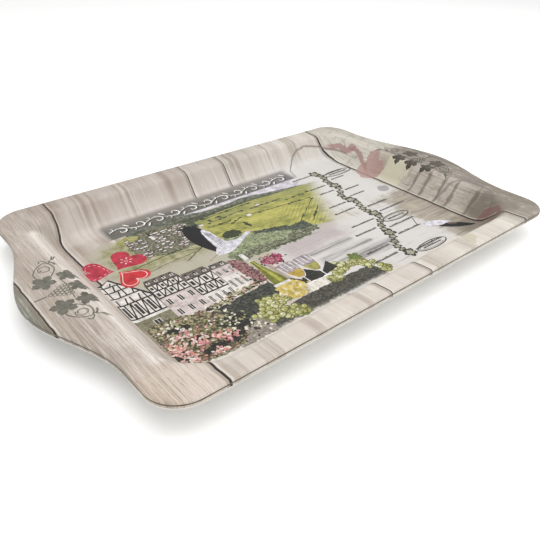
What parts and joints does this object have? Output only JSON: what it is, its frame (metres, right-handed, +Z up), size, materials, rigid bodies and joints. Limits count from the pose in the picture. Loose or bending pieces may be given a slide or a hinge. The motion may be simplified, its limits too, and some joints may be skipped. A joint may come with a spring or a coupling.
{
  "type": "serving tray",
  "caption": "Shallow rectangular serving tray with sloped walls, a flat rim with a turned-down lip and a rounded ear handle at each end, printed all over under a clear glaze.",
  "frame": {"origin": "on the table, under the centre of the tray", "axes": "+X along the tray's length towards one ear handle, +Y across its width, +Z up"},
  "size_m": [0.5, 0.31, 0.029],
  "materials": {
    "moulding": "off-white moulded melamine, satin underneath",
    "print": "printed foil: pale weathered boards with a landscape picture on the floor",
    "glaze": "clear high-gloss melamine glaze"
  },
  "bodies": {
    "root": {"core_moulding": "moulding", "decor_foil": "print", "clear_glaze": "glaze"}
  },
  "joints": []
}
